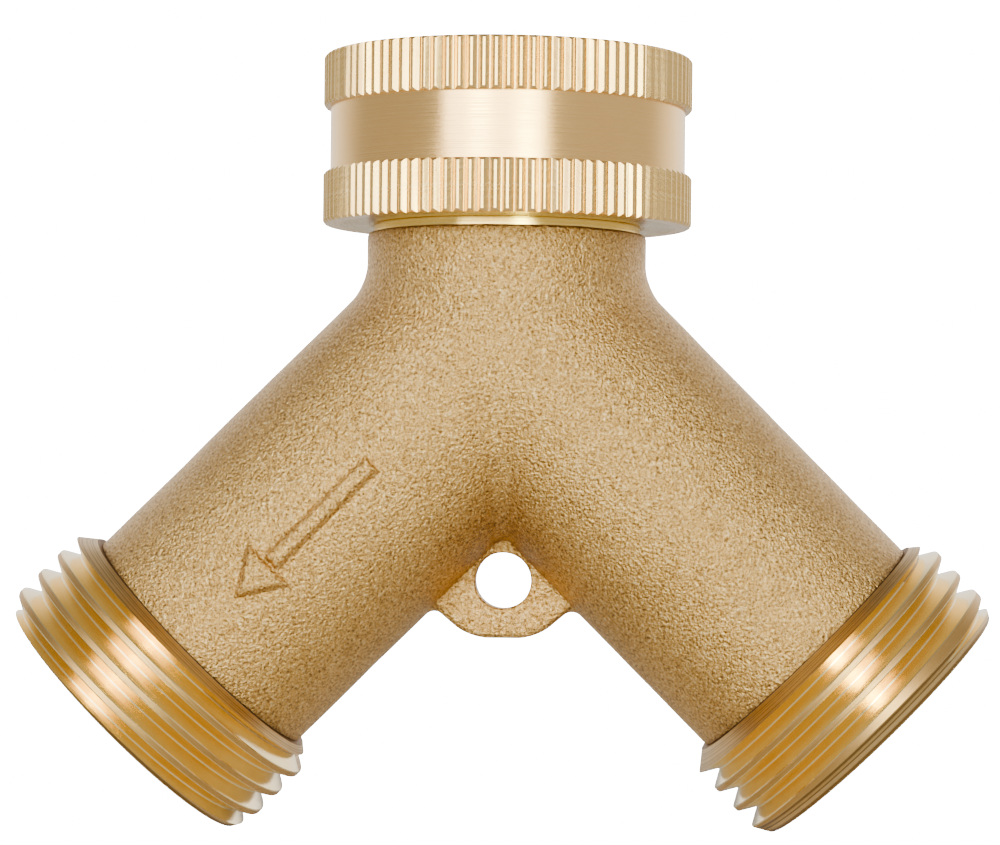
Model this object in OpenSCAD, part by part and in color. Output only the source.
// Two-way hose splitter, plain Y pattern without valves.
// A cast and machined body carries a swivel nut with a female hose thread on
// its inlet and a male hose thread on each of its two legs.
// Frame: origin on the inlet's axis in the plane of the washer's sealing face,
// where the end of a screwed-in tap comes to rest. +Z is up through the inlet,
// the legs lie in the XZ plane, -Y is the side that carries the flow arrow.
// Heights below are measured from the point where the three waterway axes
// meet; every node is lowered into the frame at the end.
// All lengths are in millimetres.

/* [Hose thread] */
// Axial pitch of the hose thread, 11.5 turns to the inch
thread_pitch = 2.209; // [2.0:0.001:2.4]
// Crest (major) diameter of the male thread on each leg
male_crest_d = 26.8; // [26.6:0.02:27.0]
// Radial depth of the male thread
male_depth = 1.36; // [1.1:0.02:1.4]
// Crest (minor) diameter of the female thread in the nut
female_crest_d = 24.6; // [24.4:0.02:24.8]
// Radial depth of the female thread
female_depth = 1.32; // [1.1:0.02:1.4]
// Steps per turn of the helical grooves
thread_steps = 36; // [24:12:48]
// Turn of the left leg's thread about its axis
left_thread_turn = 148; // [0:2:358]
// Turn of the right leg's thread about its axis
right_thread_turn = 114; // [0:2:358]

/* [Body casting] */
// Outside diameter of the cast neck
neck_d = 23.0; // [22.8:0.1:23.6]
// Height of the cast neck's top edge above the axes' meeting point
neck_top = 8.95; // [8.7:0.05:9.2]
// Radius on the cast neck's top edge
neck_edge_r = 0.35; // [0.2:0.05:0.5]
// Outside diameter of each cast leg
leg_d = 22.8; // [22.4:0.1:23.2]
// Angle of each leg from straight down
leg_angle = 45; // [42:1:50]
// Distance along a leg from the meeting point to the thread's shoulder
leg_shoulder = 35.3; // [34:0.1:40]
// Axial length of the threaded end, shoulder to end face
thread_length = 8.8; // [8:0.1:11]
// Diameter of the neck's waterway
neck_bore_d = 16.5; // [15:0.1:17]
// Diameter of each leg's waterway
leg_bore_d = 17.5; // [16:0.1:18]

/* [Hang lug] */
// Thickness of the hang lug
lug_t = 3.5; // [2.5:0.1:5]
// Distance from the meeting point down to the lug's bottom edge
lug_drop = 24.35; // [24:0.05:26]
// Width of the lug's bottom flat
lug_flat = 5.5; // [4.5:0.1:6.5]
// Diameter of the lug's hole
lug_hole_d = 4.6; // [3:0.1:4.8]
// Distance from the meeting point down to the hole's centre
lug_hole_drop = 19.6; // [19.5:0.05:20]

/* [Flow arrow] */
// Overall length of the raised flow arrow
arrow_l = 15.5; // [10:0.5:17]
// Width of the arrow head
arrow_w = 5.0; // [3:0.1:6]
// Height of the arrow above the leg's skin
arrow_rise = 0.35; // [0.2:0.05:0.6]
// Distance along the leg from the meeting point to the arrow's middle
arrow_at = 22; // [20:0.5:24]

/* [Swivel] */
// Diameter of the turned spigot that the nut runs on
spigot_d = 22.0; // [21.8:0.05:22.2]
// Height of the spigot's end face, where the washer seals
spigot_top = 13.4; // [13.2:0.05:13.5]
// Radial running clearance between spigot and nut
swivel_gap = 0.1; // [0.08:0.01:0.2]
// Wire diameter of the split retaining ring
ring_wire_d = 1.2; // [0.9:0.05:1.3]
// Height of the retaining ring's centre plane
ring_z = 11.7; // [11.6:0.05:11.8]
// Opening of the split ring, in degrees
ring_split = 30; // [15:5:60]

/* [Swivel nut] */
// Height of the nut's lower face
nut_bottom = 9.6; // [9.4:0.05:10.2]
// Overall height of the nut
nut_h = 13.85; // [13.4:0.05:15]
// Diameter over the knurled bands
nut_d = 30.45; // [30.2:0.05:32]
// Diameter of the plain waist between the bands
waist_d = 29.3; // [29.1:0.05:29.6]
// Height of each knurled band
band_h = 4.25; // [3:0.05:5]
// Number of straight knurl teeth round a band
knurl_teeth = 96; // [80:2:110]
// Radial depth of the knurl grooves
knurl_depth = 0.4; // [0.2:0.05:0.45]
// Chamfer on the rims of the bands
band_chamfer = 0.4; // [0.2:0.05:0.6]

/* [Washer] */
// Outside diameter of the hose washer
washer_od = 25.4; // [25:0.1:26]
// Inside diameter of the hose washer
washer_id = 16.0; // [15:0.1:17]
// Thickness of the hose washer
washer_t = 3.0; // [2.6:0.1:3.1]

/* [Hidden] */
$fn = 96;
past = 1;                    // how far cutting shapes run past a face

// Body
neck_r = neck_d / 2;
leg_r = leg_d / 2;
leg_end = leg_shoulder + thread_length;
leg_overlap = 3;             // how far the plain leg runs into its threaded end
mouth_chamfer = 0.5;         // on the waterway at each leg's end face
mouth_cone = 0.6;            // height and flare of the cone that cuts it
spigot_r = spigot_d / 2;
spigot_chamfer = 0.3;

// Threads
flank = tan(30);             // axial run per radial depth of a 60 degree thread
groove_open = 0.35;          // radial reach of a groove's open side past the crest
groove_run = 1.6;            // axial run of a groove past each end of its thread
male_r = male_crest_d / 2;
male_root_w = 0.12;
shoulder_r = male_r - male_depth - 0.04;
female_r = female_crest_d / 2;
female_root_r = female_r + female_depth;
female_root_w = 0.235;
female_turn = 11;            // turn of the nut's thread about its axis
crest_arc = 30;              // the crests are true cylinders in arcs of this angle
crest_step = 0.01;           // alternate arcs differ by this much in radius
crest_reach = 0.5;           // reach of the arc cutters past the crest

// Retaining ring
wire_r = ring_wire_d / 2;
ring_r = spigot_r + 0.1;     // mean radius of the relaxed ring

// Nut and washer
nut_bore_r = spigot_r + swivel_gap;
nut_top = nut_bottom + nut_h;
relief_r = female_root_r + 0.13;    // washer pocket behind the female thread
ledge_z = spigot_top - 0.4;         // floor of the washer pocket
washer_z = spigot_top + 0.05;
washer_chamfer = 0.25;
thread_z = washer_z + washer_t + 0.2;
origin_z = washer_z + washer_t;     // the frame's origin above the axes' meeting point

body_brass = [0.72, 0.54, 0.31];
nut_brass = [0.87, 0.72, 0.48];
steel = [0.72, 0.72, 0.70];
black_rubber = [0.08, 0.08, 0.08];

function reversed(list) = [for (i = [len(list) - 1:-1:0]) list[i]];

// Points of a rounded corner, anticlockwise between two angles.
function arc_points(centre, radius, from, to, steps = 6) = [
    for (i = [0:steps])
        let (angle = from + (to - from) * i / steps)
        centre + radius * [cos(angle), sin(angle)]
];

// Helical groove of trapezoidal section. open_r lies past the crest and
// root_r at the root; the flanks open out at 30 degrees a side.
module helical_groove(open_r, root_r, root_w, z0, z1) {
    steps = ceil((z1 - z0) / thread_pitch * thread_steps);
    half_root = root_w / 2;
    half_open = half_root + abs(open_r - root_r) * flank;
    // radius, height
    section = [
        [open_r, -half_open],
        [root_r, -half_root],
        [root_r, half_root],
        [open_r, half_open]
    ];
    points = [
        for (i = [0:steps], corner = section)
            let (angle = 360 * i / thread_steps, z = z0 + thread_pitch * i / thread_steps)
            [corner[0] * cos(angle), corner[0] * sin(angle), z + corner[1]]
    ];
    sides = [
        for (i = [0:steps - 1], j = [0:3])
            let (here = 4 * i + j, next = 4 * i + (j + 1) % 4)
            each [[here, here + 4, next], [next, here + 4, next + 4]]
    ];
    start_cap = [0, 1, 2, 3];
    end_cap = [for (j = [3:-1:0]) 4 * steps + j];
    faces = concat(sides, [start_cap, end_cap]);
    // a groove that opens inwards has its section mirrored, so its faces turn round
    polyhedron(
        points = points,
        faces = open_r > root_r ? faces : [for (face = faces) reversed(face)],
        convexity = 12
    );
}

// Ring segments that separate the arcs of a crest.
module crest_arcs(r_in, r_out, z0, z1) {
    for (k = [0:360 / crest_arc / 2 - 1])
        rotate([0, 0, 2 * crest_arc * k])
            rotate_extrude(angle = crest_arc)
                translate([r_in, z0]) square([r_out - r_in, z1 - z0]);
}

// Places a child on a leg: local +Z runs out along the leg, side is -1 (left)
// or 1 (right), and local -Y stays on the front.
module on_leg(side) {
    rotate([0, side * (180 - leg_angle), 0]) children();
}

// Solid male threaded end, standing on the shoulder plane; turn sets where
// the groove starts.
module threaded_end(turn) {
    shoulder_slope = 0.85;   // axial run per radial rise from shoulder to crest
    end_chamfer_l = 1.26;
    end_chamfer_depth = 0.75;
    crest_start = leg_shoulder + 0.3;
    difference() {
        difference() {
            rotate_extrude()
                polygon([
                    [0, leg_shoulder],
                    [shoulder_r, leg_shoulder],
                    [male_r, leg_shoulder + shoulder_slope * (male_r - shoulder_r)],
                    [male_r, leg_end - end_chamfer_l],
                    [male_r - end_chamfer_depth, leg_end],
                    [0, leg_end]
                ]);
            crest_arcs(male_r - crest_step, male_r + crest_reach, crest_start, leg_end + past);
        }
        rotate([0, 0, turn])
            helical_groove(male_r + groove_open, male_r - male_depth, male_root_w,
                           leg_shoulder - groove_run, leg_end + groove_run);
    }
}

// Hang lug: a flat plate in the crotch with rounded lower corners.
module lug() {
    half_flat = lug_flat / 2;
    corner_r = 0.9;
    slope = 40;              // angle of the lug's flanks above level
    flank_l = 5.2;           // from the sharp corner to the flank's upper end
    apex_drop = 10;          // top point, buried in the body
    tangent_l = corner_r * tan(slope / 2);
    corner = arc_points([half_flat - tangent_l, -lug_drop + corner_r], corner_r,
                        -90, slope - 90);
    tip = [half_flat + flank_l * cos(slope), -lug_drop + flank_l * sin(slope)];
    right = concat(corner, [tip]);
    left = [for (point = reversed(right)) [-point[0], point[1]]];
    translate([0, lug_t / 2, 0]) rotate([90, 0, 0])
        linear_extrude(height = lug_t)
            polygon(concat(right, [[0, -apex_drop]], left));
}

// Raised flow arrow on the front of the left leg, pointing out along it.
module flow_arrow() {
    half_l = arrow_l / 2;
    half_w = arrow_w / 2;
    half_shaft = arrow_w * 0.17;
    head_z = half_l - arrow_w * 0.8;    // base of the head
    cut_depth = 3;                      // of the outline, each way from the leg's skin
    intersection() {
        on_leg(-1) cylinder(r = leg_r + arrow_rise, h = leg_shoulder - 1);
        on_leg(-1) translate([0, -leg_r + cut_depth, arrow_at]) rotate([90, 0, 0])
            linear_extrude(height = 2 * cut_depth)
                polygon([
                    [-half_shaft, -half_l], [half_shaft, -half_l],
                    [half_shaft, head_z], [half_w, head_z],
                    [0, half_l],
                    [-half_w, head_z], [-half_shaft, head_z]
                ]);
    }
}

// Inlet neck with its rounded top edge and the turned spigot above it.
module neck_and_spigot() {
    edge = arc_points([neck_r - neck_edge_r, neck_top - neck_edge_r], neck_edge_r, 0, 90);
    rotate_extrude()
        polygon(concat([[0, 0], [neck_r, 0]], edge, [
            [spigot_r, neck_top],
            [spigot_r, spigot_top - spigot_chamfer],
            [spigot_r - spigot_chamfer, spigot_top],
            [0, spigot_top]
        ]));
}

// Waterways of the three branches.
module waterways() {
    leg_bore_r = leg_bore_d / 2;
    cylinder(d = neck_bore_d, h = spigot_top + past);
    for (side = [-1, 1]) on_leg(side) {
        cylinder(d = leg_bore_d, h = leg_end + past);
        translate([0, 0, leg_end - mouth_chamfer])
            cylinder(r1 = leg_bore_r, r2 = leg_bore_r + mouth_cone, h = mouth_cone);
    }
}

// Groove in the spigot, deep enough to swallow the whole wire.
module ring_groove() {
    side_gap = 0.05;
    depth_gap = 0.1;
    rotate_extrude()
        translate([spigot_r - ring_wire_d - depth_gap, ring_z - wire_r - side_gap])
            square([ring_wire_d + past, ring_wire_d + 2 * side_gap]);
}

// One-piece cast and machined body.
module y_body() {
    color(body_brass) translate([0, 0, -origin_z]) difference() {
        union() {
            neck_and_spigot();
            for (side = [-1, 1])
                on_leg(side) cylinder(r = leg_r, h = leg_shoulder + leg_overlap);
            lug();
            flow_arrow();
            on_leg(-1) threaded_end(left_thread_turn);
            on_leg(1) threaded_end(right_thread_turn);
        }
        waterways();
        ring_groove();
        translate([0, lug_t, -lug_hole_drop]) rotate([90, 0, 0])
            cylinder(d = lug_hole_d, h = 2 * lug_t);
    }
}

// Knurled band: a chamfered ring cut by straight V grooves.
module knurled_band(z0) {
    z1 = z0 + band_h;
    rim_r = nut_d / 2;
    inner_r = waist_d / 2 - 0.4;        // sunk into the sleeve
    valley_r = rim_r - knurl_depth;
    // the full teeth are taller than the grooves, so the ring leaves flat crests
    peak_r = valley_r + knurl_depth / 0.6;
    intersection() {
        rotate_extrude() polygon([
            [inner_r, z0], [rim_r - band_chamfer, z0],
            [rim_r, z0 + band_chamfer], [rim_r, z1 - band_chamfer],
            [rim_r - band_chamfer, z1], [inner_r, z1]
        ]);
        translate([0, 0, z0 - past]) linear_extrude(height = band_h + 2 * past)
            polygon([
                for (i = [0:2 * knurl_teeth - 1])
                    let (angle = 180 * i / knurl_teeth, radius = i % 2 == 0 ? valley_r : peak_r)
                    radius * [cos(angle), sin(angle)]
            ]);
    }
}

// Sleeve of the nut: running bore, ring groove, washer pocket, female thread and mouth chamfer.
module nut_sleeve() {
    bore_chamfer = 0.3;
    groove_r = spigot_r + 1.0;
    groove_half_h = wire_r + 0.15;
    difference() {
        difference() {
            translate([0, 0, nut_bottom]) cylinder(d = waist_d, h = nut_h);
            rotate_extrude() polygon([
                [0, nut_bottom - past],
                [nut_bore_r + bore_chamfer + past, nut_bottom - past],
                [nut_bore_r, nut_bottom + bore_chamfer],
                [nut_bore_r, ring_z - groove_half_h],
                [groove_r, ring_z - groove_half_h],
                [groove_r, ring_z + groove_half_h],
                [nut_bore_r, ring_z + groove_half_h],
                [nut_bore_r, ledge_z],
                [relief_r, ledge_z],
                [relief_r, thread_z],
                [female_r, thread_z],
                [female_r, nut_top - (relief_r - female_r)],
                [relief_r + past, nut_top + past],
                [0, nut_top + past]
            ]);
            crest_arcs(female_r - crest_reach, female_r + crest_step,
                       thread_z - 0.1, nut_top + 0.5);
        }
        rotate([0, 0, female_turn])
            helical_groove(female_r - groove_open, female_root_r, female_root_w,
                           thread_z - groove_run, nut_top + groove_run);
    }
}

// Swivel nut: two knurled bands, a plain waist and the female hose thread.
module swivel_nut() {
    color(nut_brass) translate([0, 0, -origin_z]) {
        nut_sleeve();
        knurled_band(nut_bottom);
        knurled_band(nut_top - band_h);
    }
}

// Split wire ring that holds the nut on the spigot; its opening faces +Y.
module retaining_ring() {
    color(steel) translate([0, 0, ring_z - origin_z]) rotate([0, 0, 90 + ring_split / 2])
        rotate_extrude(angle = 360 - ring_split)
            translate([ring_r, 0]) circle(r = wire_r, $fn = 32);
}

// Flat rubber washer just above the spigot's end face, with chamfered edges.
module hose_washer() {
    outer_r = washer_od / 2;
    inner_r = washer_id / 2;
    color(black_rubber) translate([0, 0, washer_z - origin_z]) rotate_extrude()
        polygon([
            [inner_r + washer_chamfer, 0], [outer_r - washer_chamfer, 0],
            [outer_r, washer_chamfer], [outer_r, washer_t - washer_chamfer],
            [outer_r - washer_chamfer, washer_t], [inner_r + washer_chamfer, washer_t],
            [inner_r, washer_t - washer_chamfer], [inner_r, washer_chamfer]
        ]);
}

y_body();
swivel_nut();
retaining_ring();
hose_washer();
